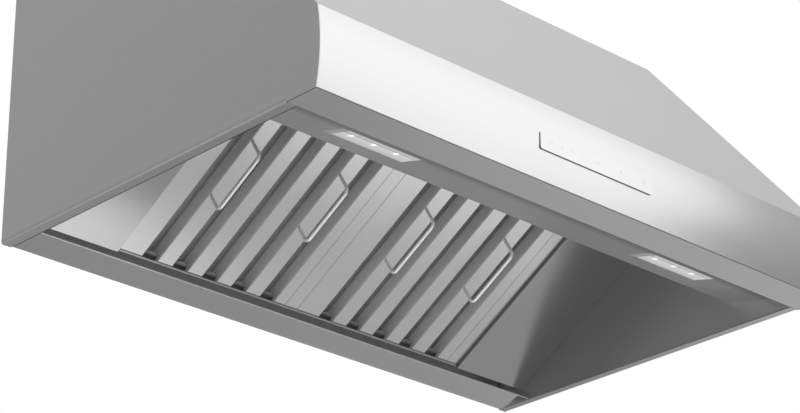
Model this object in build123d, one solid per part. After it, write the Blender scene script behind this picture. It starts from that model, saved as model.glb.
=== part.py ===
"""Wall mount range hood, 36 inch wide: sloped canopy, bowed fascia, two baffle filters,
two strip lamps, touch control, blower, duct collar and damper.

Millimetres. X runs to the right seen from the front and the wall is the plane Y = 0, with
the room at negative Y. Heights are measured from the underside here, and each piece is
written with the centre of the four wall screws as its origin.
"""
from build123d import *
from math import cos, hypot, radians, sin, sqrt, tan
import os

os.makedirs("parts", exist_ok=True)

# Overall size
width = 914.4
height = 457.2
top_depth = 304.8
bottom_depth = 601.0
fascia_lean = 1.0
fascia_height = 105.7
fascia_bow = 5.5

# Sheet metal
skin = 1.2
liner = 1.0
lap = 0.1
fold_radius = 4.0
liner_bend = 0.6
side_flange = 15.3
lap_flange = 18.0
cavity_step = 0.9
foot_flange = 12.0

# Underside lips
front_lip = 51.0
front_upturn = 10.0
rear_lip = 63.0
rear_leg = 34.0
hem_depth = 10.0
hem_edge = 1.5
lip_gap = 1.0
corner_cut_x = 22.0
corner_cut_y = 51.0
splice_height = 24.0

# Filter seat: the edge of the lower ledge's lip, and the filters' slope
seat_y = -47.6
seat_z = 23.8
filter_slope = 30.9
seat_cover = 2.2
seat_gap = 0.3
channel_cover = 10.0
channel_back = 16.0
filter_lift = 8.0
ledge_wall_z = 52.0
ledge_flange = 18.0

# One baffle filter
filter_length = 336.0
filter_depth = 28.0
filter_sheet = 0.8
filter_gap = 2.2
slat_count = 6
slat_width = 26.2
slat_edge_width = 40.2
slat_gap = 24.4
slat_flange = 19.5
slat_bend = 0.8
rear_overlap = 8.0
rear_flange = 13.0
end_lip = 12.0
drain_width = 8.0
drain_height = 4.4
drain_depth = 6.2
drain_offset = 6.2

# Wire handles
handle_wire = 4.8
handle_span = 95.0
handle_reach = 29.5
handle_bend = 8.0
handle_inset = 5.7
handle_start = 119.5

# Filler panels beside the filters
filler_proud = 4.8
filler_gap = 0.4
filler_flange = 10.0
filler_end = 2.6

# Lamp panel in front of the filters
lamp_front_z = 12.6
lamp_slope = 14.6
lamp_run = 108.9
lamp_panel_flange = 12.0

# Lamps
lamp_length = 127.0
lamp_width = 37.0
lamp_inset = 187.2
lamp_front_gap = 40.5
lens_recess = 0.3
lens_thickness = 2.5
lens_gap = 0.2
housing_depth = 22.0
housing_wall = 1.2
housing_rim = 6.0
led_count = 3
led_pitch = 37.0
led_size = 7.0
led_height = 1.5
board_thickness = 1.6
board_above_lens = 4.0

# Touch control on the fascia
control_width = 201.6
control_height = 23.5
control_centre_z = 50.75
control_proud = 1.3
control_corner = 3.0
control_window_margin = 7.0
window_depth = 3.6
control_box_depth = 26.0
control_box_rim = 8.0
control_box_wall = 1.5

# Duct collar and damper
collar_radius = 101.0
collar_height = 36.0
collar_wall = 1.0
collar_flange = 16.0
damper_height = 16.0
damper_gap = 1.5
damper_sheet = 1.0
damper_pin_radius = 2.0
damper_knuckle_radius = 3.4
knuckle_length = 28.0
knuckle_pitch = 60.0
knuckle_play = 0.5
pin_clearance = 0.06
stop_width = 5.0

# Blower
blower_width = 170.0
blower_wall = 1.5
blower_y = -190.0
blower_z = 300.0
neck_depth = 150.0
outlet_flange = 226.0
scroll_start = 86.0
wheel_radius = 78.0
wheel_inner_radius = 64.0
wheel_width = 146.0
blade_count = 36
blade_sheet = 1.2
rim_width = 3.0
disc_thickness = 2.0
hub_radius = 12.0
hub_length = 22.0
inlet_radius = 66.0
inlet_ring_wall = 1.5
inlet_ring_depth = 8.0
inlet_ring_flange = 9.0
shaft_radius = 4.0
shaft_clearance = 0.05
shaft_play = 1.0
motor_radius = 42.0
motor_start = 14.0
bracket_sheet = 2.0
bracket_arm = 16.0
bracket_hub = 30.0
capacitor_radius = 15.0
capacitor_length = 55.0

# Electrical boxes under the top panel
box_wall = 1.2
electrical_inset = 157.2
junction_y = -80.0
junction_size = (110.0, 70.0, 48.0)
driver_y = -90.0
driver_size = (150.0, 62.0, 34.0)
conduit_radius = 11.1

# Fixings
mount_spacing_x = 609.6
mount_spacing_z = 203.2
mount_drop = 137.2
mount_hole_radius = 4.5
screw_radius = 2.0
screw_hole_radius = 2.2
screw_head_radius = 4.0
screw_head_height = 2.2
screw_length = 10.0

# Derived places
half = width / 2
fascia_top_depth = bottom_depth + fascia_lean
mount_centre_z = height - mount_drop
lamp_centre_x = half - lamp_inset
junction_x = half - electrical_inset
driver_x = electrical_inset - half
shell_half = half - skin - lap
flange_edge = half - side_flange
cavity_half = flange_edge - cavity_step
lip_y = front_lip - bottom_depth
duct_y = -top_depth / 2
collar_base = height + lap
pin_z = height + damper_height
top_under = height - skin
slope_run = fascia_top_depth - top_depth
slope_rise = height - fascia_height
slope_length = hypot(slope_run, slope_rise)
inward_y = slope_rise / slope_length
inward_z = -slope_run / slope_length
filter_width = 2 * slat_edge_width + (slat_count - 2) * slat_width + (slat_count - 1) * slat_gap
filter_low = -seat_cover
filter_high = filter_low + filter_length
channel_lip = filter_high - channel_cover
channel_end = filter_high + filter_lift + seat_gap
seat_end = filter_low - seat_gap
module_edge = filter_gap / 2 + filter_width
filler_edge = module_edge + filler_gap
lamp_front_y = lip_y + lap + liner
lamp_rear_y = lamp_front_y + lamp_run
lamp_rear_z = lamp_front_z + lamp_run * tan(radians(lamp_slope))
face_sin = sin(radians(filter_slope))
face_cos = cos(radians(filter_slope))

# The filters' visible face: x along X, y up the slope, z out of the face
face = Plane(origin=(0, seat_y, seat_z), x_dir=(1, 0, 0), z_dir=(0, -face_sin, -face_cos))
# Cross section of the filters: x along X, y into the filter, normal up the slope
section = Plane(origin=(0, seat_y, seat_z), x_dir=(1, 0, 0), z_dir=(0, -face_cos, face_sin))
# The lamp panel's visible face: x along X, y to the rear, z into the panel
lamp_face = Plane(
    origin=(0, lamp_front_y, lamp_front_z),
    x_dir=(1, 0, 0),
    z_dir=(0, -sin(radians(lamp_slope)), cos(radians(lamp_slope))),
)


def box(x0, x1, y0, y1, z0, z1):
    """A block between two corners."""
    return Pos((x0 + x1) / 2, (y0 + y1) / 2, (z0 + z1) / 2) * Box(x1 - x0, y1 - y0, z1 - z0)


def face_box(x0, x1, s0, s1, n0, n1):
    """A block in the filters' own directions: along X, up the slope and behind the face."""
    return face * box(x0, x1, s0, s1, -n1, -n0)


def bar_x(radius, x0, x1, y, z):
    """A round bar along X."""
    return Pos((x0 + x1) / 2, y, z) * Rot(0, 90, 0) * Cylinder(radius, x1 - x0)


def bar_y(radius, x, y0, y1, z):
    """A round bar along Y."""
    return Pos(x, (y0 + y1) / 2, z) * Rot(90, 0, 0) * Cylinder(radius, y1 - y0)


def bar_z(radius, x, y, z0, z1):
    """A round bar along Z."""
    return Pos(x, y, (z0 + z1) / 2) * Cylinder(radius, z1 - z0)


def on_face(s, n):
    """Y and Z of a point up the filters' slope by s and behind their face by n."""
    return seat_y - s * face_cos + n * face_sin, seat_z + s * face_sin + n * face_cos


def mirrored(shape):
    """The same piece on the other side of the middle plane."""
    return mirror(shape, about=Plane.YZ)


def save(name, *shapes):
    """Write one node with the centre of the wall screws as its origin."""
    pieces = [Pos(0, 0, -mount_centre_z) * piece for shape in shapes for piece in shape.solids()]
    for piece in pieces:
        piece.label = name
    export_step(pieces[0] if len(pieces) == 1 else Compound(children=pieces), f"parts/{name}.step")


def save_pair(name, right):
    """Write a piece and its mirror image."""
    save(f"right_{name}", right)
    save(f"left_{name}", mirrored(right))


# Folded sheet
def sheet_outline(points, thickness, bend):
    """Closed outline of a folded sheet that lies to the left of an open path of corners."""
    headings = []
    for (ya, za), (yb, zb) in zip(points, points[1:]):
        length = hypot(yb - ya, zb - za)
        headings.append(((yb - ya) / length, (zb - za) / length))
    befores = headings[:1] + headings
    afters = headings + headings[-1:]
    other, near_radii, far_radii = [], [], []
    for (y, z), before, after in zip(points, befores, afters):
        reach = thickness / (1 + before[0] * after[0] + before[1] * after[1])
        other.append((y - (before[1] + after[1]) * reach, z + (before[0] + after[0]) * reach))
        turn = before[0] * after[1] - before[1] * after[0]
        near_radii.append(0.0 if turn == 0 else bend + thickness if turn > 0 else bend)
        far_radii.append(0.0 if turn == 0 else bend if turn > 0 else bend + thickness)
    corners = list(points) + other[::-1]
    return FilletPolyline(*corners, radius=near_radii + far_radii[::-1], close=True)


def folded_sheet(points, thickness, bend, x0, x1):
    """A folded sheet with its profile in Y and Z, running from x0 to x1."""
    outline = Plane.YZ * make_face(sheet_outline(points, thickness, bend))
    return Pos(x0, 0, 0) * extrude(outline, x1 - x0)


# The bowed front and the slope above it
def bow_circle():
    """Centre and radius of the fascia's outer arc."""
    chord = hypot(fascia_top_depth - bottom_depth, fascia_height)
    radius = (chord ** 2 / 4 + fascia_bow ** 2) / (2 * fascia_bow)
    reach = radius - fascia_bow
    centre_y = -(bottom_depth + fascia_top_depth) / 2 + reach * fascia_height / chord
    centre_z = fascia_height / 2 + reach * (fascia_top_depth - bottom_depth) / chord
    return centre_y, centre_z, radius


bow_y, bow_z, bow_radius = bow_circle()


def front_y(z, inset=0.0):
    """Y of the bowed front at a height, or of a surface inset behind it."""
    return bow_y - sqrt((bow_radius - inset) ** 2 - (z - bow_z) ** 2)


def slope_point(distance, inset=0.0):
    """Y and Z up the canopy's slope from the fascia, inset behind its outer surface."""
    y = -fascia_top_depth + slope_run * distance / slope_length + inward_y * inset
    z = fascia_height + slope_rise * distance / slope_length + inward_z * inset
    return y, z


def slope_start(slope_inset, bow_inset):
    """Distance up the slope where a surface inset behind it meets one inset behind the bow."""
    low, high = -20.0, 20.0
    for _ in range(50):
        middle = (low + high) / 2
        y, z = slope_point(middle, slope_inset)
        if y < front_y(z, bow_inset):
            low = middle
        else:
            high = middle
    return (low + high) / 2


def slope_end(inset, level):
    """Distance up the slope where a surface inset behind it reaches a level."""
    return (level - fascia_height - inward_z * inset) * slope_length / slope_rise


def side_profile(inset, rear, bottom):
    """The hood seen from the side, inset behind the front, the slope and the top."""
    top = height - inset
    start = slope_point(slope_start(inset, inset), inset)
    end = slope_point(slope_end(inset, top), inset)
    low = (front_y(bottom, inset), bottom)
    middle_z = (low[1] + start[1]) / 2
    edges = [
        Line((-rear, bottom), low),
        ThreePointArc(low, (front_y(middle_z, inset), middle_z), start),
        Line(start, end),
        Line(end, (-rear, top)),
        Line((-rear, top), (-rear, bottom)),
    ]
    return Plane.YZ * make_face(edges)


def folded_side(radius):
    """A side panel with flanges all round, its lower edge folded at the given outer radius."""
    inset = skin + lap
    shell = extrude(side_profile(0.0, 0.0, 0.0), -skin)
    shell += extrude(side_profile(inset, inset, 0.0), -side_flange)
    hollow = extrude(side_profile(inset + skin, inset + skin, skin), -side_flange)
    hollow = Pos(-skin, 0, 0) * hollow
    if radius > skin:
        outer = [e for e in shell.edges() if abs(e.center().Z) < lap and abs(e.center().X) < lap]
        shell = fillet(outer, radius)
        inner = [e for e in hollow.edges()
                 if abs(e.center().Z - skin) < lap and abs(e.center().X + skin) < lap]
        hollow = fillet(inner, radius - skin)
    return shell - hollow


def side_panel():
    """The right outer side; its lower flange starts behind the front lip."""
    far = bottom_depth + height
    room = half
    behind = folded_side(fold_radius) & box(-room, room, lip_y, 0, 0, height)
    front = folded_side(0.0) & box(-room, room, -far, lip_y, 0, height)
    front -= box(-room, -skin, -far, lip_y, 0, skin + lap)
    return Pos(half, 0, 0) * (front + behind)


def flange_zones():
    """The space of the side panels' flanges, which other folded edges keep clear of."""
    inset = skin + lap
    zone = extrude(side_profile(inset, 0.0, inset), skin - side_flange - 2 * lap)
    right = Pos(half - skin, 0, 0) * zone
    return right, mirrored(right)


def control_window(clearance):
    """The hole in the fascia behind the touch plate, or its filling at a clearance."""
    reach_x = control_width / 2 - control_window_margin - clearance
    reach_z = control_height / 2 - control_window_margin - clearance
    front = front_y(bow_z)
    return box(-reach_x, reach_x, front - lap, front + window_depth,
               control_centre_z - reach_z, control_centre_z + reach_z)


def fascia_panel():
    """The bowed front with its bottom lip, the upturn behind it and a flange under the canopy."""
    under = skin + lap
    start = slope_start(under, under)
    front = (front_y(0.0), 0.0)
    corner = slope_point(slope_start(0.0, 0.0))
    inner_corner = slope_point(slope_start(under + skin, skin), under + skin)
    inner_low = (front_y(skin, skin), skin)
    middle_z = fascia_height / 2
    edges = [
        Line((lip_y, 0), front),
        ThreePointArc(front, (front_y(middle_z), middle_z), corner),
        Line(corner, slope_point(start, under)),
        Line(slope_point(start, under), slope_point(start + lap_flange, under)),
        Line(slope_point(start + lap_flange, under), slope_point(start + lap_flange, under + skin)),
        Line(slope_point(start + lap_flange, under + skin), inner_corner),
        ThreePointArc(inner_corner, (front_y(middle_z, skin), middle_z), inner_low),
        Line(inner_low, (lip_y - skin, skin)),
        Line((lip_y - skin, skin), (lip_y - skin, front_upturn)),
        Line((lip_y - skin, front_upturn), (lip_y, front_upturn)),
        Line((lip_y, front_upturn), (lip_y, 0)),
    ]
    sheet = Pos(-shell_half, 0, 0) * extrude(Plane.YZ * make_face(edges), 2 * shell_half)
    folds = [e for e in sheet.edges().filter_by(Axis.X)
             if abs(e.center().Z) < lap and min(abs(e.center().Y - y) for y in (lip_y, front[0])) < lap]
    sheet = fillet(folds, skin)
    for zone in flange_zones():
        sheet -= zone
    return sheet - control_window(0.0)


def canopy_panel():
    """The flat sloped front above the fascia."""
    low = slope_point(slope_start(0.0, 0.0) + lap)
    low_in = slope_point(slope_start(skin, skin) + lap, skin)
    high = slope_point(slope_end(0.0, height))
    high_in = slope_point(slope_end(skin, height), skin)
    outline = Plane.YZ * make_face(Polyline(low, high, high_in, low_in, close=True))
    return Pos(-shell_half, 0, 0) * extrude(outline, 2 * shell_half)


def collar_screw_places():
    """X and Y of the four screws through the collar's flange."""
    reach = (collar_radius + collar_flange / 2) / sqrt(2)
    return [(sx * reach, duct_y + sy * reach) for sx in (-1, 1) for sy in (-1, 1)]


def top_panel():
    """The flat top, folded down at the wall and behind the canopy."""
    inset = skin + lap
    end = slope_end(inset, height)
    points = [
        (-inset, height - lap_flange),
        (-inset, height),
        slope_point(end, inset),
        slope_point(end - lap_flange, inset),
    ]
    sheet = folded_sheet(points, skin, liner_bend, -shell_half, shell_half)
    sheet -= bar_z(collar_radius - collar_wall, 0, duct_y, top_under - lap, height + lap)
    sheet -= bar_z(conduit_radius, junction_x, junction_y, top_under - lap, height + lap)
    for x, y in collar_screw_places():
        sheet -= bar_z(screw_hole_radius, x, y, top_under - lap, height + lap)
    for zone in flange_zones():
        sheet -= zone
    return sheet


def mount_places():
    """X and Z of the four wall screw holes."""
    return [(sx * mount_spacing_x / 2, mount_centre_z + sz * mount_spacing_z / 2)
            for sx in (-1, 1) for sz in (-1, 1)]


def back_panel():
    """The flat rear wall, cut away above the rear lip's leg."""
    sheet = box(-shell_half, shell_half, -skin, 0, 0, height)
    sheet -= box(-flange_edge, flange_edge, -half, half, -lap, rear_leg + lap)
    for x, z in mount_places():
        sheet -= bar_y(mount_hole_radius, x, -half, half, z)
    return sheet


def rear_channel():
    """The rear lip: a grease channel with a hemmed front edge and a drain cut at its right end."""
    x = flange_edge - lip_gap
    hem = 2 * skin + lap
    outer = [(0, rear_leg), (0, 0), (-rear_lip, 0), (-rear_lip, hem), (hem_depth - rear_lip, hem)]
    inner = [
        (hem_depth - rear_lip, hem - skin),
        (skin - rear_lip, hem - skin),
        (skin - rear_lip, skin),
        (-skin, skin),
        (-skin, rear_leg),
    ]
    radii = [0, fold_radius, skin, skin, 0, 0, 0, 0, fold_radius - skin, 0]
    outline = Plane.YZ * make_face(FilletPolyline(*outer, *inner, radius=radii, close=True))
    sheet = Pos(-x, 0, 0) * extrude(outline, 2 * x)
    front = hem_edge - rear_lip
    corner = Polyline((x, front), (x - corner_cut_x, front), (x, front + corner_cut_y), close=True)
    return sheet - extrude(make_face(corner), hem, both=True)


def splice_plate():
    """Strip behind the seam between the rear wall and the rear lip."""
    x = cavity_half - lap
    return box(-x, x, -2 * skin - lap, -skin - lap,
               rear_leg - splice_height / 2, rear_leg + splice_height / 2)


# The cavity behind the lips
def inner_wall():
    """The right wall of the cavity, standing on the side panel's lower flange."""
    low = skin + lap
    rear = -fold_radius - lap
    outline = Polyline(
        (rear, low),
        (lip_y + lap, low),
        (lip_y + lap, lamp_front_z + 2 * front_upturn),
        (lamp_rear_y - 2 * front_upturn, lamp_rear_z + 2 * front_upturn),
        on_face(channel_end + channel_back, 0),
        on_face(channel_end, filter_depth + channel_back),
        (rear, ledge_wall_z + ledge_flange),
        close=True,
    )
    wall = extrude(Plane.YZ * make_face(outline), liner)
    wall += box(0, foot_flange, lip_y + lap, rear, low, low + liner)
    return Pos(cavity_half, 0, 0) * wall


def filter_ledge():
    """The ledge that the filters' lower ends rest in, folded up at the wall."""
    x = cavity_half - lap
    back = -skin - lap - liner
    points = [
        (back, ledge_wall_z + ledge_flange),
        (back, ledge_wall_z),
        on_face(seat_end, filter_depth + seat_gap),
        on_face(seat_end, -seat_gap),
        on_face(0, -seat_gap),
    ]
    sheet = folded_sheet(points, liner, 0.2, -x, x)
    for x0, x1 in ((-half, -filler_edge + lap), (filler_edge - lap, half)):
        sheet -= face_box(x0, x1, seat_end - 3 * liner, 3 * liner, -3 * liner, filter_depth)
    return sheet


def filter_channel():
    """The channel that the filters' upper ends slide into when they are lifted."""
    x = cavity_half - lap
    points = [
        on_face(channel_lip, -seat_gap),
        on_face(channel_end, -seat_gap),
        on_face(channel_end, filter_depth + seat_gap),
        on_face(channel_end - channel_back, filter_depth + seat_gap),
    ]
    return folded_sheet(points, liner, 0.2, -x, x)


def lamp_holes():
    """The two lamp openings as blocks through the lamp panel."""
    y = lamp_front_gap + lamp_width / 2
    return [lamp_face * Pos(side * lamp_centre_x, y, 0) * Box(lamp_length, lamp_width, 8 * liner)
            for side in (-1, 1)]


def lamp_panel():
    """Front of the cavity: an upturned edge, the lamp panel and the riser to the filters."""
    x = cavity_half - lap
    lip_front = -seat_gap - liner - lap
    points = [
        (lamp_front_y, skin + lap),
        (lamp_front_y, lamp_front_z),
        (lamp_rear_y, lamp_rear_z),
        on_face(channel_lip, lip_front - liner),
        on_face(channel_lip + lamp_panel_flange, lip_front - liner),
    ]
    return folded_sheet(points, liner, liner_bend, -x, x) - lamp_holes()[0] - lamp_holes()[1]


def filler_panel():
    """The flat panel between the right filter and the right wall of the cavity."""
    x1 = cavity_half - lap
    high = channel_lip - 3 * liner
    sheet = face_box(filler_edge, x1, -filler_end, high, -filler_proud, liner - filler_proud)
    sheet += face_box(filler_edge, filler_edge + liner, -filler_end, high, -filler_proud, filler_flange)
    sheet += face_box(x1 - liner, x1, -filler_end, high, -filler_proud, filler_flange)
    return sheet + face_box(filler_edge, x1, -filler_end, liner - filler_end,
                            -filler_proud, filter_depth - liner)


# Baffle filters
def slat_places():
    """Left and right edge of each front slat, from the module's left edge."""
    places, x = [], 0.0
    for i in range(slat_count):
        span = slat_edge_width if i in (0, slat_count - 1) else slat_width
        places.append((x, x + span))
        x += span + slat_gap
    return places


def along_filter(points, bend):
    """A folded sheet of the filter's length with its profile across the slope."""
    start = section.offset(filter_low)
    return extrude(start * make_face(sheet_outline(points, filter_sheet, bend)), filter_length)


def front_slats(x):
    """The six visible slats of the module whose left edge is at x."""
    slats = []
    for i, (left, right) in enumerate(slat_places()):
        corners = [(x + left, slat_flange), (x + left, 0), (x + right, 0), (x + right, slat_flange)]
        if i == 0:
            corners = corners[1:]
        if i == slat_count - 1:
            corners = corners[:3]
        slats.append(along_filter(corners, slat_bend) - frame_walls(x, lap))
    return slats


def rear_slats(x):
    """The five slats behind the gaps, open towards the front and wider than the gaps."""
    floor = filter_depth - filter_sheet - lap
    slats = []
    places = slat_places()
    for (_, left), (right, _) in zip(places, places[1:]):
        x0, x1 = x + left - rear_overlap, x + right + rear_overlap
        corners = [(x1, filter_depth - rear_flange), (x1, floor), (x0, floor),
                   (x0, filter_depth - rear_flange)]
        slats.append(along_filter(corners, slat_bend) - frame_walls(x, lap))
    return slats


def frame_walls(x, grow):
    """The filter frame's lower, upper, left and right wall, grown by a clearance."""
    edge = filter_sheet + lap
    low, high, x1 = filter_low, filter_high, x + filter_width
    side_low, side_high, side_depth = low + edge, high - edge, filter_depth - edge
    return [
        face_box(x - grow, x1 + grow, low - grow, low + filter_sheet + grow, edge, filter_depth),
        face_box(x - grow, x1 + grow, high - filter_sheet - grow, high + grow, edge, filter_depth),
        face_box(x - grow, x + filter_sheet + grow, side_low, side_high, edge, side_depth),
        face_box(x1 - filter_sheet - grow, x1 + grow, side_low, side_high, edge, side_depth),
    ]


def filter_frame(x):
    """The four walls of one filter's frame, the lower one with a drain hole under each gap."""
    lower, upper, left_side, right_side = frame_walls(x, 0.0)
    x1 = x + filter_width
    back = filter_depth - filter_sheet
    lower += face_box(x, x1, filter_low, filter_low + end_lip, back, filter_depth)
    upper += face_box(x, x1, filter_high - end_lip, filter_high, back, filter_depth)
    places = slat_places()
    for (_, left), (right, _) in zip(places, places[1:]):
        hole_x = x + (left + right) / 2 + drain_offset
        place = section.offset(filter_low) * Pos(hole_x, drain_depth, 0)
        lower -= place * extrude(SlotOverall(drain_width, drain_height), 2 * filter_sheet, both=True)
    return [lower, upper, left_side, right_side]


def wire_handles(x):
    """The two fixed wire handles of one filter."""
    handles = []
    for slat in (1, slat_count - 2):
        foot = face.from_local_coords((x + slat_places()[slat][0] + handle_inset, 0, 0))
        side = Plane(origin=foot, x_dir=face.y_dir, z_dir=(1, 0, 0))
        end = handle_start + handle_span
        path = FilletPolyline((handle_start, 0), (handle_start, handle_reach),
                              (end, handle_reach), (end, 0), radius=handle_bend)
        start = Plane(origin=(handle_start, 0, 0), z_dir=(0, 1, 0))
        handles.append(side * sweep(start * Circle(handle_wire / 2), path=path))
    return handles


# Lamps
def lamp_box(reach, wall_z0, wall_z1):
    """A block over the right lamp's opening, grown by reach."""
    y = lamp_front_gap + lamp_width / 2
    block = Box(lamp_length + 2 * reach, lamp_width + 2 * reach, wall_z1 - wall_z0)
    return lamp_face * Pos(lamp_centre_x, y, (wall_z0 + wall_z1) / 2) * block


def lamp_housing():
    """The can behind the lamp opening, with a rim on the panel and a step that holds the lens."""
    rim = liner + lap
    step = lens_recess + lens_thickness + lap
    housing = lamp_box(housing_rim, rim, rim + housing_wall)
    housing += lamp_box(housing_wall, rim, housing_depth)
    housing -= lamp_box(0, rim, step)
    return housing - lamp_box(-housing_wall, step, housing_depth - housing_wall)


def lamp_lens():
    """The frosted lens set back in the opening."""
    return lamp_box(-lens_gap, lens_recess, lens_recess + lens_thickness)


def lamp_board():
    """The board above the lens with its row of LEDs facing down."""
    low = lens_recess + lens_thickness + board_above_lens
    board = lamp_box(-housing_wall - lens_gap, low, low + board_thickness)
    y = lamp_front_gap + lamp_width / 2
    leds = []
    for i in range(led_count):
        x = lamp_centre_x + (i - (led_count - 1) / 2) * led_pitch
        leds.append(lamp_face * Pos(x, y, low - led_height / 2) * Box(led_size, led_size, led_height))
    for led in leds:
        board += led
    return board


# Touch control
def control_plate():
    """The flat touch plate with the boss that fills the window behind it."""
    back = front_y(bow_z)
    outline = RectangleRounded(control_width, control_height, control_corner)
    plane = Plane(origin=(0, back, control_centre_z), x_dir=(1, 0, 0), z_dir=(0, -1, 0))
    return plane * extrude(outline, control_proud) + control_window(lens_gap)


def control_block(shrink, y0, y1):
    """A block behind the touch plate, shrunk by a wall."""
    reach_x = control_width / 2 - shrink
    reach_z = control_height / 2 + control_box_rim - shrink
    return box(-reach_x, reach_x, y0, y1, control_centre_z - reach_z, control_centre_z + reach_z)


def control_box():
    """The box behind the fascia that holds the control board."""
    front = front_y(control_centre_z - control_height / 2 - control_box_rim, skin) + lap
    back = front + control_box_depth
    shell = control_block(0, front, back)
    return shell - control_block(control_box_wall, front, back - control_box_wall)


def control_board():
    """The touch board against the plate's boss."""
    front = front_y(bow_z) + window_depth + lap
    return control_block(control_box_wall + lap, front, front + board_thickness)


# Duct collar and damper
def duct_collar():
    """The round collar with its screwed flange and an inward stop for the flaps."""
    outer = bar_z(collar_radius + collar_flange, 0, duct_y, collar_base, collar_base + collar_wall)
    outer += bar_z(collar_radius, 0, duct_y, collar_base, collar_base + collar_height)
    bore = collar_radius - collar_wall
    outer -= bar_z(bore, 0, duct_y, height, height + 2 * collar_height)
    stop_top = pin_z - damper_sheet / 2 - seat_gap
    stop = bar_z(bore, 0, duct_y, stop_top - collar_wall, stop_top)
    outer += stop - bar_z(bore - stop_width, 0, duct_y, height, height + collar_height)
    for x, y in collar_screw_places():
        outer -= bar_z(screw_hole_radius, x, y, height, height + screw_length)
    return outer - bar_x(damper_pin_radius, -half, half, duct_y, pin_z)


def damper_pin():
    """The pin across the collar that both flaps turn on."""
    return bar_x(damper_pin_radius, -collar_radius, collar_radius, duct_y, pin_z)


def damper_flap(side):
    """A half-round flap with two knuckles on the pin; side is 1 at the rear and -1 in front."""
    reach = collar_radius - collar_wall - damper_gap
    clear = damper_knuckle_radius + damper_gap / 2
    flap = Pos(0, 0, 0) * Cylinder(reach, damper_sheet)
    flap &= box(-reach, reach, side * clear if side > 0 else -reach,
                reach if side > 0 else side * clear, -damper_sheet, damper_sheet)
    for place in (-1, 1):
        x = place * knuckle_pitch / 2 + side * knuckle_pitch / 4
        x0, x1 = x - knuckle_length / 2 + knuckle_play, x + knuckle_length / 2 - knuckle_play
        flap += bar_x(damper_knuckle_radius, x0, x1, 0, 0)
        y0, y1 = sorted((0, side * (clear + damper_gap)))
        flap += box(x0, x1, y0, y1, -damper_sheet / 2, damper_sheet / 2)
    flap -= bar_x(damper_pin_radius + pin_clearance, -reach, reach, 0, 0)
    return Pos(0, duct_y, pin_z) * flap


# Blower
def scroll_profile(inset, top):
    """The scroll and its neck seen from the side, inset from the outer surface."""
    neck_rear = duct_y + neck_depth / 2 - inset
    neck_front = duct_y - neck_depth / 2 + inset
    last = neck_rear - blower_y
    tongue_z = blower_z + sqrt((scroll_start - inset) ** 2 - (neck_front - blower_y) ** 2)

    def point(share):
        """A point on the scroll, from the front at 0 to the rear at 1."""
        radius = scroll_start - inset + (last - scroll_start + inset) * share
        angle = radians(180 + 180 * share)
        return blower_y + radius * cos(angle), blower_z + radius * sin(angle)

    start_radius = scroll_start - inset
    half_turn = radians(155)
    between = (blower_y + start_radius * cos(half_turn), blower_z + start_radius * sin(half_turn))
    edges = [
        ThreePointArc((neck_front, tongue_z), between, point(0)),
        ThreePointArc(point(0), point(0.25), point(0.5)),
        ThreePointArc(point(0.5), point(0.75), point(1)),
        Line(point(1), (neck_rear, top)),
        Line((neck_rear, top), (neck_front, top)),
        Line((neck_front, top), (neck_front, tongue_z)),
    ]
    return Plane.YZ * make_face(edges)


def blower_housing():
    """The scroll housing with its outlet flange under the top panel and two inlets."""
    top = top_under - lap
    reach = blower_width / 2
    room = outlet_flange / 2
    shell = extrude(scroll_profile(0.0, top), reach, both=True)
    shell += box(-room, room, duct_y - room, duct_y + room, top - blower_wall, top)
    shell -= extrude(scroll_profile(blower_wall, top + blower_wall), reach - blower_wall, both=True)
    for x, y in collar_screw_places():
        shell -= bar_z(screw_hole_radius, x, y, top - screw_length, height)
    return shell - bar_x(inlet_radius, -width, width, blower_y, blower_z)


def inlet_ring():
    """The right inlet's ring, with a flange outside the housing."""
    reach = blower_width / 2
    outer = inlet_radius - lap
    ring = bar_x(outer, reach - inlet_ring_depth, reach + lap, blower_y, blower_z)
    ring += bar_x(outer + inlet_ring_flange, reach + lap, reach + lap + inlet_ring_wall, blower_y, blower_z)
    return ring - bar_x(outer - inlet_ring_wall, 0, width, blower_y, blower_z)


def blower_wheel():
    """The wheel: a centre disc with a hub, a ring of blades and two end rims."""
    reach = wheel_width / 2
    wheel = bar_x(wheel_radius, -disc_thickness / 2, disc_thickness / 2, 0, 0)
    for x in (-reach, reach - rim_width):
        rim = bar_x(wheel_radius, x, x + rim_width, 0, 0)
        wheel += rim - bar_x(wheel_inner_radius, x - lap, x + reach, 0, 0)
    wheel += bar_x(hub_radius, disc_thickness / 2 - hub_length, disc_thickness / 2, 0, 0)
    depth = wheel_radius - wheel_inner_radius
    middle = (wheel_radius + wheel_inner_radius) / 2
    blades = [Rot(360 * i / blade_count, 0, 0) * Pos(0, middle, 0) * Rot(35, 0, 0)
              * Box(wheel_width - lap, depth, blade_sheet) for i in range(blade_count)]
    wheel = wheel.fuse(*blades)
    wheel -= bar_x(shaft_radius, -width, width, 0, 0)
    return Pos(0, blower_y, blower_z) * wheel


def motor_end():
    """X of the motor's outer end, on the bracket outside the inlet ring."""
    return blower_width / 2 + 2 * lap + inlet_ring_wall


def motor_shaft():
    """The shaft from the wheel's hub into the motor."""
    return bar_x(shaft_radius, disc_thickness / 2 - hub_length, motor_end() - bracket_arm,
                 blower_y, blower_z)


def motor():
    """The motor inside the right half of the wheel, with the bore that its shaft runs in."""
    body = bar_x(motor_radius, motor_start, motor_end(), blower_y, blower_z)
    ends = [e for e in body.edges() if abs(e.center().X - motor_start) < lap]
    body = fillet(ends, hub_radius / 3)
    return body - bar_x(shaft_radius + shaft_clearance, 0, motor_end() - bracket_arm + shaft_play,
                        blower_y, blower_z)


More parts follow.
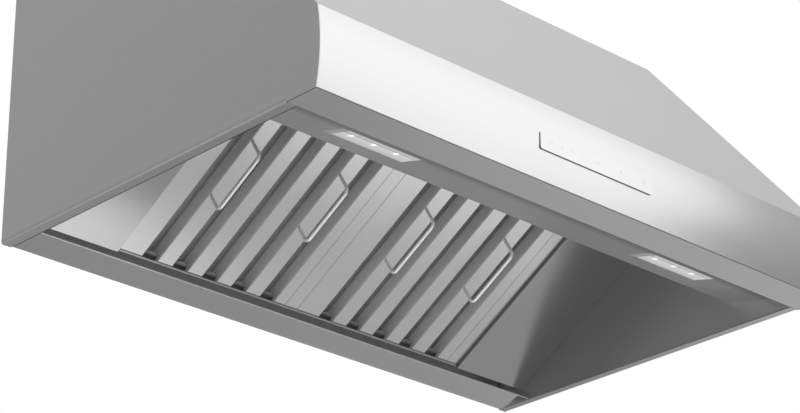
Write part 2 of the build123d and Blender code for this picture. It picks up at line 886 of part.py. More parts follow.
def motor_bracket():
    """Three arms across the right inlet that carry the motor."""
    x0 = motor_end() + lap
    reach = inlet_radius + inlet_ring_flange - inlet_ring_wall
    bracket = bar_x(bracket_hub, 0, bracket_sheet, 0, 0)
    for i in range(3):
        arm = Pos(bracket_sheet / 2, reach / 2, 0) * Box(bracket_sheet, reach, bracket_arm)
        bracket += Rot(120 * i + 90, 0, 0) * arm
    return Pos(x0, blower_y, blower_z) * bracket


def capacitor():
    """The motor's run capacitor, strapped to the left side of the blower's neck."""
    x = -blower_width / 2 - capacitor_radius - lap
    top = top_under - lap - blower_wall - lap
    return bar_z(capacitor_radius, x, duct_y, top - capacitor_length, top)


def collar_screws():
    """Four screws through the collar, the top panel and the blower's outlet flange."""
    head = collar_base + collar_wall
    screws = []
    for x, y in collar_screw_places():
        screw = bar_z(screw_radius, x, y, head - screw_length, head)
        screws.append(screw + bar_z(screw_head_radius, x, y, head, head + screw_head_height))
    return screws


# Electrical boxes
def open_box(x, y, size):
    """A box under the top panel that is open below."""
    length, depth, drop = size
    top = top_under - lap
    shell = box(x - length / 2, x + length / 2, y - depth / 2, y + depth / 2, top - drop, top)
    inset = box_wall
    return shell - box(x - length / 2 + inset, x + length / 2 - inset, y - depth / 2 + inset,
                       y + depth / 2 - inset, top - drop, top - inset)


def box_cover(x, y, size):
    """The flat cover of an open box."""
    length, depth, drop = size
    low = top_under - 2 * lap - drop
    return box(x - length / 2, x + length / 2, y - depth / 2, y + depth / 2, low - box_wall, low)


def junction_box():
    """The box for the supply, with a hole for the conduit."""
    shell = open_box(junction_x, junction_y, junction_size)
    return shell - bar_z(conduit_radius, junction_x, junction_y, top_under - 2 * conduit_radius, height)


def write_parts():
    """Build and write every node."""
    save_pair("side_panel", side_panel())
    save("fascia_panel", fascia_panel())
    save("canopy_panel", canopy_panel())
    save("top_panel", top_panel())
    save("back_panel", back_panel())
    save("rear_channel", rear_channel())
    save("splice_plate", splice_plate())
    save_pair("inner_wall", inner_wall())
    save("filter_ledge", filter_ledge())
    save("filter_channel", filter_channel())
    save("lamp_panel", lamp_panel())
    save_pair("filler_panel", filler_panel())
    for name, x in (("left", -module_edge), ("right", filter_gap / 2)):
        save(f"{name}_filter_frame", *filter_frame(x))
        save(f"{name}_filter_front_slats", *front_slats(x))
        save(f"{name}_filter_rear_slats", *rear_slats(x))
        save(f"{name}_filter_handles", *wire_handles(x))
    save_pair("lamp_housing", lamp_housing())
    save_pair("lamp_lens", lamp_lens())
    save_pair("lamp_board", lamp_board())
    save("control_plate", control_plate())
    save("control_box", control_box())
    save("control_board", control_board())
    save("duct_collar", duct_collar())
    save("damper_pin", damper_pin())
    save("damper_flap_rear", damper_flap(1))
    save("damper_flap_front", damper_flap(-1))
    save("blower_housing", blower_housing())
    save_pair("inlet_ring", inlet_ring())
    save("blower_wheel", blower_wheel())
    save("motor_shaft", motor_shaft())
    save("motor", motor())
    save("motor_bracket", motor_bracket())
    save("capacitor", capacitor())
    save("collar_screws", *collar_screws())
    save("junction_box", junction_box())
    save("junction_cover", box_cover(junction_x, junction_y, junction_size))
    save("lamp_driver", open_box(driver_x, driver_y, driver_size))
    save("lamp_driver_cover", box_cover(driver_x, driver_y, driver_size))


write_parts()
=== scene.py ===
import math

import bpy
from mathutils import Matrix, Vector


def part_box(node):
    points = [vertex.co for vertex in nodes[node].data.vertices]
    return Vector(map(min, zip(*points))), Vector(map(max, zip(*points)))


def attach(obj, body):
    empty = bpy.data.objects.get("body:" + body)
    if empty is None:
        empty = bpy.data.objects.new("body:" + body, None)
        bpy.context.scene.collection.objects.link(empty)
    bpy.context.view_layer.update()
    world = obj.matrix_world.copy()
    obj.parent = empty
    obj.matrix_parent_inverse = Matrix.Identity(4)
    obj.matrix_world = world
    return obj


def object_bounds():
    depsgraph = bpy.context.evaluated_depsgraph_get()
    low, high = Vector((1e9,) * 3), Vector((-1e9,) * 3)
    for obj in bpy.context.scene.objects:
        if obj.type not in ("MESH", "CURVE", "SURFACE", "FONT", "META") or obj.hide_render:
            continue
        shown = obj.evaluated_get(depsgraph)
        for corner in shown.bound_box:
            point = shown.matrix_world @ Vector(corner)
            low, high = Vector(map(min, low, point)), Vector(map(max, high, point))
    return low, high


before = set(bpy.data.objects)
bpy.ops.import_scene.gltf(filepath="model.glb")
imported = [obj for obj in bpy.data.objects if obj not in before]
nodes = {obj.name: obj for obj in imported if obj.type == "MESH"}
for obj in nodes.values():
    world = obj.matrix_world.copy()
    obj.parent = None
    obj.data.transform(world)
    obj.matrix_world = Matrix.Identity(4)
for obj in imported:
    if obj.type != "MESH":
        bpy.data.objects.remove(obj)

# Wall mount range hood: finishes, lamp trims, symbols, seams, studio and camera around the
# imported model. Metres, +X to the right seen from the front, the wall at Y = 0, +Z up.

cad_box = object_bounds()
MM = 0.001
UNDERSIDE = cad_box[0].z
X_AXIS = Vector((1, 0, 0))
Y_AXIS = Vector((0, 1, 0))
Z_AXIS = Vector((0, 0, 1))
SIDES = ("left", "right")

# Slopes that the trims follow, and a point on the filters' face near its lower end
FILTER_SLOPE = math.radians(30.9)
LAMP_SLOPE = math.radians(14.6)
SEAT = Vector((0, -47.6 * MM, 23.8 * MM + UNDERSIDE))
UP_SLOPE = Vector((0, -math.cos(FILTER_SLOPE), math.sin(FILTER_SLOPE)))
LAMP_REARWARD = Vector((0, math.cos(LAMP_SLOPE), math.sin(LAMP_SLOPE)))
LAMP_INWARD = Vector((0, -math.sin(LAMP_SLOPE), math.cos(LAMP_SLOPE)))


# Node helpers
def new_material(name):
    """An empty node material and its Principled shader."""
    material = bpy.data.materials.new(name)
    material.use_nodes = True
    return material, material.node_tree.nodes["Principled BSDF"]


def add(tree, kind, **values):
    """A node with its properties and unlinked sockets set by name."""
    node = tree.nodes.new(kind)
    for key, value in values.items():
        if hasattr(node, key):
            setattr(node, key, value)
        else:
            node.inputs[key.replace("_", " ")].default_value = value
    return node


def math_node(tree, operation, first, second=0.0):
    """A math node on two sockets or numbers."""
    node = add(tree, "ShaderNodeMath", operation=operation)
    for socket, value in zip(node.inputs, (first, second)):
        if isinstance(value, bpy.types.NodeSocket):
            tree.links.new(value, socket)
        else:
            socket.default_value = value
    return node.outputs["Value"]


def product(tree, first, *others):
    """Values multiplied together."""
    for other in others:
        first = math_node(tree, "MULTIPLY", first, other)
    return first


def blended(tree, first, share, second):
    """A share of one value and the rest of another."""
    return math_node(tree, "ADD", product(tree, first, share), product(tree, second, 1 - share))


def spread(tree, value, low, high, start=0.0, end=1.0, smooth=False):
    """A value mapped from one range to another."""
    node = add(tree, "ShaderNodeMapRange")
    node.interpolation_type = "SMOOTHSTEP" if smooth else "LINEAR"
    for name, number in (("From Min", start), ("From Max", end), ("To Min", low), ("To Max", high)):
        node.inputs[name].default_value = number
    tree.links.new(value, node.inputs["Value"])
    return node.outputs["Result"]


def fade(tree, value, edge, low=0.0, high=1.0):
    """A smooth change from one number to another across an edge given by its two ends."""
    return spread(tree, value, low, high, *edge, smooth=True)


def tinted(tree, value, low, high):
    """A 0 to 1 value turned into a colour between two."""
    node = add(tree, "ShaderNodeValToRGB")
    node.color_ramp.elements[0].color = (*low, 1)
    node.color_ramp.elements[1].color = (*high, 1)
    tree.links.new(value, node.inputs["Fac"])
    return node.outputs["Color"]


def parted(tree, vector):
    """The X, Y and Z of a vector."""
    node = add(tree, "ShaderNodeSeparateXYZ")
    tree.links.new(vector, node.inputs["Vector"])
    return tuple(node.outputs)


def coordinates(tree, kind):
    """The texture coordinates of one kind."""
    return add(tree, "ShaderNodeTexCoord").outputs[kind]


def object_place(tree, wave, turn=0.0):
    """The object's own coordinates, turned about X, with one unit per wave in metres."""
    mapping = add(tree, "ShaderNodeMapping", vector_type="TEXTURE")
    mapping.inputs["Rotation"].default_value = (turn, 0, 0)
    mapping.inputs["Scale"].default_value = wave
    tree.links.new(coordinates(tree, "Object"), mapping.inputs["Vector"])
    return mapping.outputs["Vector"]


def noise(tree, wave, turn=0.0, detail=2.0):
    """Soft noise with its wavelength along X, Y and Z."""
    node = add(tree, "ShaderNodeTexNoise", Scale=1.0, Detail=detail)
    tree.links.new(object_place(tree, wave, turn), node.inputs["Vector"])
    return node.outputs["Fac"]


def bumped(tree, shader, value, strength, distance):
    """A bump on the shader's normal."""
    bump = add(tree, "ShaderNodeBump", Strength=strength, Distance=distance)
    tree.links.new(value, bump.inputs["Height"])
    tree.links.new(bump.outputs["Normal"], shader.inputs["Normal"])


def rough_between(tree, shader, value, roughness, change, start=0.0):
    """Roughness that varies about its mean by a share, over a range of the value one unit long."""
    low, high = roughness * (1 - change), roughness * (1 + change)
    tree.links.new(spread(tree, value, low, high, start, start + 1), shader.inputs["Roughness"])


def grey(level):
    """A neutral colour."""
    return (level, level, level)


def shaded(tone, share):
    """A colour made darker or lighter by a share."""
    return tuple(min(c * share, 1.0) for c in tone)


# Brushed steel: its grain, the faint streaks along it and the cloudy change of its roughness;
# the grain's bump and change of roughness grow with its contrast in tone
GRAIN_LENGTH = 60 * MM
GRAIN_WIDTH = 0.4 * MM
GRAIN_RIPPLE = 5.0
GRAIN_BUMP = 1.6
GRAIN_DEPTH = 0.02 * MM
STREAK_LENGTH = 500 * MM
STREAK_WIDTH = 6 * MM
STREAK_SHARE = 0.5
CLOUD = 300 * MM
CLOUD_SHARE = 0.5
QUARTER_TURN = 0.25
# How far a surface is turned to X where the softer inner finish begins and where it is full
SIDEWAYS_EDGE = (0.3, 0.8)
# Painted shade in the lamp panel's tone, for the corner behind the front lip
EDGE_SHADE = 0.60
EDGE_SHADE_START = 30 * MM
EDGE_SHADE_WIDTH = 24 * MM


def along_grain(tree, grain, length, width, turn):
    """Noise that is long along the grain's main axis and narrow across it."""
    wave = [width] * 3
    wave[max(range(3), key=lambda i: abs(grain[i]))] = length
    return noise(tree, wave, turn)


def steel(name, tone, roughness, grain, turn=0.0, stretch=0.8, contrast=0.025, inner=1.0):
    """Brushed sheet: fine lines and faint streaks along the grain, sharper along it than across.

    A lower inner value gives walls turned to X a softer, less mirror-like finish.
    """
    material, shader = new_material(name)
    tree = material.node_tree
    lines = along_grain(tree, grain, GRAIN_LENGTH, GRAIN_WIDTH, turn)
    streaks = along_grain(tree, grain, STREAK_LENGTH, STREAK_WIDTH, turn)
    cloud = noise(tree, [CLOUD] * 3)
    marks = blended(tree, streaks, STREAK_SHARE, lines)
    colour = tinted(tree, marks, shaded(tone, 1 - contrast), shaded(tone, 1 + contrast))
    tree.links.new(colour, shader.inputs["Base Color"])
    shader.inputs["Metallic"].default_value = 1.0
    if inner < 1.0:
        sideways = math_node(tree, "ABSOLUTE", parted(tree, coordinates(tree, "Normal"))[0])
        tree.links.new(spread(tree, sideways, 1.0, inner, *SIDEWAYS_EDGE), shader.inputs["Metallic"])
    uneven = math_node(tree, "ADD", lines, product(tree, cloud, CLOUD_SHARE))
    rough_between(tree, shader, uneven, roughness, GRAIN_RIPPLE * contrast, CLOUD_SHARE / 2)
    shader.inputs["Anisotropic"].default_value = stretch
    shader.inputs["Anisotropic Rotation"].default_value = QUARTER_TURN
    direction = add(tree, "ShaderNodeCombineXYZ", X=grain[0], Y=grain[1], Z=grain[2])
    tree.links.new(direction.outputs["Vector"], shader.inputs["Tangent"])
    bumped(tree, shader, lines, GRAIN_BUMP * contrast, GRAIN_DEPTH)
    return material


def paint_shade_behind_lip(material, start, width, share):
    """Painted shade: tone that falls off toward the front, for the corner behind a lip."""
    tree = material.node_tree
    colour = tree.nodes["Principled BSDF"].inputs["Base Color"]
    y = parted(tree, coordinates(tree, "Object"))[1]
    scaled = add(tree, "ShaderNodeVectorMath", operation="SCALE")
    tree.links.new(colour.links[0].from_socket, scaled.inputs[0])
    tree.links.new(fade(tree, y, (start, start + width), share), scaled.inputs["Scale"])
    tree.links.new(scaled.outputs["Vector"], colour)


# Other finishes; a ripple is the share by which roughness varies
LAMP_WHITE = (1, 1, 0.985)
METAL_RIPPLE = 0.2
CRYSTAL_SIZE = 14 * MM
CRYSTAL_SHARE = 0.45
ZINC_CLOUD = 40 * MM
ZINC_SHADES = (0.8, 1.12)
ZINC_RIPPLE = 0.25
PLASTIC_RIPPLE = 0.1
PLASTIC_BUMP = 0.3
PLASTIC_DEPTH = 0.04 * MM


def metal(name, tone, roughness, wave=25 * MM, variation=0.08, metallic=1.0, glow=0.0):
    """A plain metal with soft uneven tone, such as chrome; its glow is painted light, as on the rims
    round the lenses.
    """
    material, shader = new_material(name)
    tree = material.node_tree
    cloud = noise(tree, [wave] * 3, detail=3.0)
    tree.links.new(tinted(tree, cloud, shaded(tone, 1 - variation), tone), shader.inputs["Base Color"])
    shader.inputs["Metallic"].default_value = metallic
    shader.inputs["Emission Color"].default_value = (*LAMP_WHITE, 1)
    shader.inputs["Emission Strength"].default_value = glow
    rough_between(tree, shader, cloud, roughness, METAL_RIPPLE)
    return material


def galvanised(name, tone, roughness):
    """Zinc coated sheet with its crystal pattern."""
    material, shader = new_material(name)
    tree = material.node_tree
    crystals = add(tree, "ShaderNodeTexVoronoi", Scale=1.0)
    tree.links.new(object_place(tree, [CRYSTAL_SIZE] * 3), crystals.inputs["Vector"])
    cloud = noise(tree, [ZINC_CLOUD] * 3, detail=4.0)
    marks = blended(tree, crystals.outputs["Color"], CRYSTAL_SHARE, cloud)
    low, high = (shaded(tone, share) for share in ZINC_SHADES)
    tree.links.new(tinted(tree, marks, low, high), shader.inputs["Base Color"])
    shader.inputs["Metallic"].default_value = 1.0
    rough_between(tree, shader, marks, roughness, ZINC_RIPPLE)
    return material


def plastic(name, tone, roughness, variation=0.1, wave=1.1 * MM):
    """Moulded plastic or paint with a fine texture."""
    material, shader = new_material(name)
    tree = material.node_tree
    grain = noise(tree, [wave] * 3)
    tree.links.new(tinted(tree, grain, shaded(tone, 1 - variation), tone), shader.inputs["Base Color"])
    rough_between(tree, shader, grain, roughness, PLASTIC_RIPPLE)
    bumped(tree, shader, grain, PLASTIC_BUMP, PLASTIC_DEPTH)
    return material


# The lamps' lens, seen from below: three bright spots behind a ribbed frosted cover
LED_PITCH = 36.5 * MM
LED_SPOTS = 3
SPOT_GLOW = 0.75
SPOT_EDGE = (0.5 * MM, 4.0 * MM)
SPOT_STRETCH = 0.45
SPOT_FORWARD = 3.0 * MM
LENS_GLOW = (0.30, 0.22)
LENS_GLOW_EDGE = (0.0, 8 * MM)
LENS_TONES = ((0.60, 0.60, 0.59), (0.68, 0.68, 0.67))
LENS_ROUGHNESS = 0.35
RIB_WAVE = (1.6 * MM, 30 * MM, 30 * MM)
RIB_BUMP = 0.4
RIB_DEPTH = 0.1 * MM


def lens_glow(tree, centre):
    """How bright the lens is: a soft band along its middle and a spot at each LED."""
    x, y, _ = parted(tree, coordinates(tree, "Object"))
    off_y = product(tree, math_node(tree, "SUBTRACT", y, centre.y - SPOT_FORWARD), SPOT_STRETCH)
    glow = fade(tree, math_node(tree, "ABSOLUTE", off_y), LENS_GLOW_EDGE, *LENS_GLOW)
    for i in range(LED_SPOTS):
        spot_x = centre.x + (i - (LED_SPOTS - 1) / 2) * LED_PITCH
        off_x = math_node(tree, "SUBTRACT", x, spot_x)
        squares = math_node(tree, "ADD", product(tree, off_x, off_x), product(tree, off_y, off_y))
        spot = fade(tree, math_node(tree, "SQRT", squares), SPOT_EDGE, SPOT_GLOW, 0.0)
        glow = math_node(tree, "ADD", glow, spot)
    return glow


def lens_material(node):
    """Frosted cover with its glow and LED spots, placed from the lens it belongs to."""
    material, shader = new_material(f"{node}_frosted")
    tree = material.node_tree
    low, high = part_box(node)
    glow = lens_glow(tree, (low + high) / 2)
    tree.links.new(tinted(tree, glow, grey(0), LAMP_WHITE), shader.inputs["Emission Color"])
    shader.inputs["Emission Strength"].default_value = 1.0
    frost = noise(tree, RIB_WAVE)
    tree.links.new(tinted(tree, frost, *LENS_TONES), shader.inputs["Base Color"])
    shader.inputs["Roughness"].default_value = LENS_ROUGHNESS
    bumped(tree, shader, frost, RIB_BUMP, RIB_DEPTH)
    return material


def dress(material, *names):
    """Give nodes one material."""
    for name in names:
        data = nodes[name].data
        data.materials.clear()
        data.materials.append(material)


# Sheets that mirror a calm part of the room have less contrast in their grain
STEEL_TONE = grey(0.735)
LINER_TONE = grey(0.68)
CALM = 0.005
skin_steel = steel("skin_brushed", STEEL_TONE, 0.25, X_AXIS)
side_steel = steel("side_brushed", STEEL_TONE, 0.30, Y_AXIS)
liner_steel = steel("liner_brushed", LINER_TONE, 0.28, X_AXIS)
lamp_steel = steel("lamp_panel_brushed", LINER_TONE, 0.28, X_AXIS, contrast=CALM)
wall_steel = steel("wall_brushed", LINER_TONE, 0.28, Y_AXIS, contrast=CALM)
ledge_steel = steel("ledge_brushed", grey(0.37), 0.28, X_AXIS)
# The fillers' tone is well below the liner's: a darker copy of the same steel, painted shade
filler_steel = steel("filler_brushed", grey(0.44), 0.16, UP_SLOPE, turn=-FILTER_SLOPE, contrast=CALM)
filter_steel = steel("filter_brushed", grey(0.70), 0.25, UP_SLOPE, turn=-FILTER_SLOPE,
                     contrast=0.008, inner=0.2)
plate_steel = steel("plate_brushed", grey(0.725), 0.22, X_AXIS)
# The rear slats are a lighter, less metallic copy of the filter steel, which lifts the shade inside
# the gaps: painted light
inner_steel = metal("filter_inner", grey(0.90), 0.45, metallic=0.2)
zinc = galvanised("zinc_sheet", (0.60, 0.61, 0.62), 0.40)
chrome = metal("handle_chrome", grey(0.93), 0.22, metallic=0.40)
lamp_metal = metal("lamp_trim", (0.80, 0.80, 0.79), 0.40, metallic=0.6)
# The rims round the lenses glow, though they are no lamp: painted light
lamp_rim_painted_glow = metal("lamp_rim_painted_glow", (0.84, 0.84, 0.83), 0.40, metallic=0.2, glow=0.16)
# The grooves are dark strips of painted shade, with a faint painted glow
lamp_groove_painted_shade = metal("lamp_groove_painted_shade", grey(0.30), 0.50, metallic=0.2, glow=0.05)
screw_zinc = metal("screw_zinc", (0.68, 0.68, 0.67), 0.3)
flap_aluminium = metal("flap_aluminium", (0.78, 0.79, 0.80), 0.35)
# Dark strips of painted shadow at folds
painted_fold_shadow = metal("fold_shadow", grey(0.30), 0.5)
# Dark pieces of painted shade at the lower ends of the gaps between the slats
gap_shade_metal = metal("gap_end_shade", grey(0.26), 0.35, wave=9 * MM, variation=0.5)
print_grey = metal("symbol_print", grey(0.715), 0.26, wave=4 * MM, variation=0.04)
black_plastic = plastic("box_plastic", (0.045, 0.045, 0.048), 0.5)
board_lacquer = plastic("board_lacquer", (0.03, 0.16, 0.07), 0.3)
# Dark strips of painted shade in the gaps of the underside's seams
seam_gap_shade = plastic("seam_gap_shade", grey(0.035), 0.6)
wheel_paint = plastic("wheel_paint", (0.07, 0.072, 0.075), 0.4)
motor_paint = plastic("motor_paint", (0.02, 0.02, 0.022), 0.35)
capacitor_shell = plastic("capacitor_shell", (0.62, 0.62, 0.60), 0.4)
# The lamp panel's tone darkens toward its front edge: painted shade behind the front lip
paint_shade_behind_lip(lamp_steel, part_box("lamp_panel")[0].y + EDGE_SHADE_START, EDGE_SHADE_WIDTH, EDGE_SHADE)

dress(skin_steel, "canopy_panel", "fascia_panel", "rear_channel", "top_panel")
dress(side_steel, "left_side_panel", "right_side_panel")
dress(lamp_steel, "lamp_panel")
dress(liner_steel, "filter_channel")
dress(ledge_steel, "filter_ledge")
dress(wall_steel, "left_inner_wall", "right_inner_wall")
dress(filler_steel, "left_filler_panel", "right_filler_panel")
dress(zinc, "back_panel", "splice_plate", "duct_collar", "blower_housing", "left_inlet_ring",
      "right_inlet_ring", "motor_bracket", "junction_box", "junction_cover")
dress(plate_steel, "control_plate")
dress(black_plastic, "control_box", "lamp_driver", "lamp_driver_cover")
dress(board_lacquer, "control_board", "left_lamp_board", "right_lamp_board")
dress(flap_aluminium, "damper_flap_rear", "damper_flap_front")
dress(screw_zinc, "collar_screws", "damper_pin", "motor_shaft")
dress(wheel_paint, "blower_wheel")
dress(motor_paint, "motor")
dress(capacitor_shell, "capacitor")
for side in SIDES:
    dress(filter_steel, f"{side}_filter_frame", f"{side}_filter_front_slats")
    dress(inner_steel, f"{side}_filter_rear_slats")
    dress(chrome, f"{side}_filter_handles")
    dress(lamp_metal, f"{side}_lamp_housing")
    dress(lens_material(f"{side}_lamp_lens"), f"{side}_lamp_lens")

# The slats' lower ends would mirror the dark inside of the channel
nodes["rear_channel"].visible_glossy = False


# Mesh helpers
def facing(origin, across, up):
    """A matrix with local X across, local Y up and local Z out of that plane."""
    out = across.cross(up)
    return Matrix.Translation(origin) @ Matrix((across, up, out)).transposed().to_4x4()


def prism(outline, low, high):
    """Corners and faces of a flat outline made solid between two heights."""
    count = len(outline)
    corners = [(x, y, z) for z in (low, high) for x, y in outline]
    faces = [tuple(range(count))[::-1], tuple(range(count, 2 * count))]
    for i in range(count):
        j = (i + 1) % count
        faces.append((i, j, count + j, count + i))
    return corners, faces


def joined(*shapes):
    """Several sets of corners and faces as one."""
    corners, faces = [], []
    for more_corners, more_faces in shapes:
        start = len(corners)
        corners += more_corners
        faces += [tuple(start + i for i in face) for face in more_faces]
    return corners, faces


def moved(shape, x):
    """A shape moved along its local X."""
    corners, faces = shape
    return [(corner[0] + x, *corner[1:]) for corner in corners], faces


def bar(x0, x1, y0, y1, low, high):
    """A flat bar between two corners."""
    return prism([(x0, y0), (x1, y0), (x1, y1), (x0, y1)], low, high)


def arc_points(x, y, radius, start, end, steps):
    """Points along an arc about a centre, from one angle to another in degrees."""
    angles = [math.radians(start + (end - start) * i / steps) for i in range(steps + 1)]
    return [(x + radius * math.cos(angle), y + radius * math.sin(angle)) for angle in angles]


def place(name, shape, matrix, material, body):
    """One piece from corners and faces, riding on a body."""
    mesh = bpy.data.meshes.new(name)
    mesh.from_pydata(shape[0], [], shape[1])
    mesh.transform(matrix)
    mesh.validate()
    mesh.materials.append(material)
    piece = bpy.data.objects.new(name, mesh)
    bpy.context.scene.collection.objects.link(piece)
    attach(piece, body)


# Lamp trims, placed from the middle of the lens with local Y toward the front
BEZEL_LENGTH = 127.0 * MM
BEZEL_WIDTH = 37.0 * MM
BEZEL_LEFT = 11.5 * MM
BEZEL_RIGHT = 2.5 * MM
BEZEL_FRONT = 8.5 * MM
BEZEL_REAR = 1.5 * MM
BEZEL_PROUD = 0.5 * MM
BEZEL_LIFT = 0.02 * MM
GROOVE_WIDTH = 2.2 * MM
LENS_THICKNESS = 2.5 * MM


def lamp_trim(side):
    """The frame round the lens, its front rim with a painted glow, and a dark strip of painted shade
    for the groove inside it.
    """
    low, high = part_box(f"{side}_lamp_lens")
    face = (low + high) / 2 - LAMP_INWARD * LENS_THICKNESS / 2
    matrix = facing(face, X_AXIS, -LAMP_REARWARD)
    x, y = BEZEL_LENGTH / 2, BEZEL_WIDTH / 2
    left, right = -x + BEZEL_LEFT, x - BEZEL_RIGHT
    front, rear = y - BEZEL_FRONT, -y + BEZEL_REAR
    heights = (BEZEL_LIFT, BEZEL_PROUD)
    bezel = joined(bar(-x, left, -y, y, *heights), bar(left, x, -y, rear, *heights))
    rim = joined(bar(left, x, front, y, *heights), bar(right, x, rear, front, *heights))
    groove = bar(left, right, front - GROOVE_WIDTH, front, BEZEL_LIFT, BEZEL_PROUD / 2)
    place(f"{side}_lamp_bezel", bezel, matrix, lamp_metal, "hood")
    place(f"{side}_lamp_rim_painted_glow", rim, matrix, lamp_rim_painted_glow, "hood")
    place(f"{side}_lamp_groove_painted_shade", groove, matrix, lamp_groove_painted_shade, "hood")


# Touch plate symbols, printed a little darker than the plate, each drawn about its own middle
SYMBOL_RISE = 0.06 * MM
SYMBOL_LINE = 0.7 * MM
SYMBOL_Z = 1.8 * MM
SYMBOL_STEPS = 20
RING = 3.0 * MM
STEM_SHARE = 0.8
BULB = 2.0 * MM
RAY_REACH = 3.1 * MM
RAYS = 5
BLADE = 1.7 * MM
BLADES = 3
BLADE_ARC = (-100, 80)
LONG_HAND = 1.8 * MM
SHORT_HAND = 1.6 * MM
LEVELS = 4
LEVEL_PITCH = 3.2 * MM
LEVEL_WIDTH = 1.4 * MM
LEVEL_BASE = -2.5 * MM
LEVEL_LOW = 1.5 * MM
LEVEL_STEP = 1.2 * MM
SIGN_REACH = 4.5 * MM
DIVIDER = (0.42 * MM, 9.0 * MM)


def symbol_bar(x, y, width, height):
    """An upright bar about a centre."""
    return bar(x - width / 2, x + width / 2, y - height / 2, y + height / 2, 0, SYMBOL_RISE)


def symbol_arc(x, y, radius, start, end):
    """A thin arc about a centre, from one angle to another in degrees."""
    inner = arc_points(x, y, radius - SYMBOL_LINE, start, end, SYMBOL_STEPS)
    outer = arc_points(x, y, radius, start, end, SYMBOL_STEPS)
    pieces = []
    for i in range(SYMBOL_STEPS):
        outline = [inner[i], outer[i], outer[i + 1], inner[i + 1]]
        pieces.append(prism(outline, 0, SYMBOL_RISE))
    return joined(*pieces)


def power_symbol():
    """A ring with a gap at its top, and a stem in the gap."""
    stem = symbol_bar(0, STEM_SHARE * RING, SYMBOL_LINE, RING)
    return joined(symbol_arc(0, 0, RING, -240, 60), stem)


def lamp_symbol():
    """A small ring with dots for its rays below."""
    rays = [symbol_bar(x, y, SYMBOL_LINE, SYMBOL_LINE)
            for x, y in arc_points(0, 0, RAY_REACH, 180, 360, RAYS - 1)]
    return joined(symbol_arc(0, 0, BULB, 0, 360), *rays)


def fan_symbol():
    """Three curved blades about the middle."""
    blades = []
    for i in range(BLADES):
        angle = 90 + 360 / BLADES * i
        x, y = BLADE * math.cos(math.radians(angle)), BLADE * math.sin(math.radians(angle))
        blades.append(symbol_arc(x, y, BLADE, angle + BLADE_ARC[0], angle + BLADE_ARC[1]))
    return joined(*blades)


def divider_symbol():
    """A long thin bar between two groups."""
    return symbol_bar(0, 0, *DIVIDER)


def level_symbol():
    """Four bars of growing height for the fan's speed."""
    bars = []
    for i in range(LEVELS):
        x = (i - (LEVELS - 1) / 2) * LEVEL_PITCH
        height = LEVEL_LOW + LEVEL_STEP * i
        bars.append(symbol_bar(x, LEVEL_BASE + height / 2, LEVEL_WIDTH, height))
    return joined(*bars)


def minus_symbol():
    """A short level bar."""
    return symbol_bar(0, 0, SIGN_REACH, SYMBOL_LINE)


def plus_symbol():
    """A level bar and an upright one."""
    return joined(minus_symbol(), symbol_bar(0, 0, SYMBOL_LINE, SIGN_REACH))


def timer_symbol():
    """A clock face with its two hands."""
    long_hand = symbol_bar(0, LONG_HAND / 2, SYMBOL_LINE, LONG_HAND)
    short_hand = symbol_bar(SHORT_HAND / 2, 0, SHORT_HAND, SYMBOL_LINE)
    return joined(symbol_arc(0, 0, RING, 0, 360), long_hand, short_hand)


# Each symbol and its place along the plate, in millimetres from the middle
SYMBOLS = ((power_symbol, -82.4), (lamp_symbol, -63.0), (fan_symbol, -45.3), (divider_symbol, -27.4),
           (level_symbol, 0.0), (minus_symbol, 30.6), (plus_symbol, 43.4), (timer_symbol, 86.2))


def control_symbols():
    """Generic symbols along the touch plate."""
    low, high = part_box("control_plate")
    origin = Vector((0, low.y, (low.z + high.z) / 2 + SYMBOL_Z))
    shape = joined(*(moved(symbol(), x * MM) for symbol, x in SYMBOLS))
    place("control_symbols", shape, facing(origin, X_AXIS, Z_AXIS), print_grey, "hood")


# Seams and folded edges of the underside, as dark strips of painted shade
SEAM_WIDTH = 1.2 * MM
SEAM_RISE = 0.08 * MM
FLANGE_EDGE = 441.9 * MM
FLANGE_SEAM_REAR = -4 * MM
FRONT_LIP_REAR = -550.0 * MM
LIP_SEAM_INSET = (0.5 * MM, 1.5 * MM)
LIP_SEAM_FRONT = 6 * MM
FRONT_FOLD = (-600.8 * MM, -599.8 * MM)
FRONT_FOLD_INSET = 2 * MM


def underside_seam(name, x0, x1, y0, y1, material=seam_gap_shade):
    """A thin dark strip of painted shade on the underside between two sheets."""
    matrix = facing(Vector((0, 0, UNDERSIDE)), X_AXIS, -Y_AXIS)
    place(name, bar(x0, x1, -y1, -y0, 0, SEAM_RISE), matrix, material, "hood")


def underside_seams():
    """Painted shade at the front lip's fold, in the seams along both side flanges and in those at both
    ends of the lip.
    """
    half = cad_box[1].x
    fold = half - FRONT_FOLD_INSET
    underside_seam("front_fold_line", -fold, fold, *FRONT_FOLD, painted_fold_shadow)
    for side, sign in (("left", -1), ("right", 1)):
        flange = sorted((sign * (FLANGE_EDGE - SEAM_WIDTH), sign * FLANGE_EDGE))
        end = sorted(sign * (half - inset) for inset in LIP_SEAM_INSET)
        underside_seam(f"{side}_flange_seam", *flange, FRONT_LIP_REAR, FLANGE_SEAM_REAR)
        underside_seam(f"{side}_lip_seam", *end, cad_box[0].y + LIP_SEAM_FRONT, FRONT_LIP_REAR)


# The filters' face from its lower end: local X to the left, Y up the slope and Z into the filter
FILTER_LOW = -2.2 * MM
FILTER_FACE = facing(SEAT + UP_SLOPE * FILTER_LOW, -X_AXIS, UP_SLOPE)
FILTER_GAP = 2.2 * MM
FILTER_WIDTH = 307.2 * MM
FOLD_LINE_WIDTH = 0.6 * MM
FOLD_LINE_INSET = 20.5 * MM
FOLD_LINE_LENGTH = 325.0 * MM
STRIP_WIDTH = 1.7 * MM
STRIP_DEPTH = 0.5 * MM
STRIP_THICKNESS = 0.6 * MM


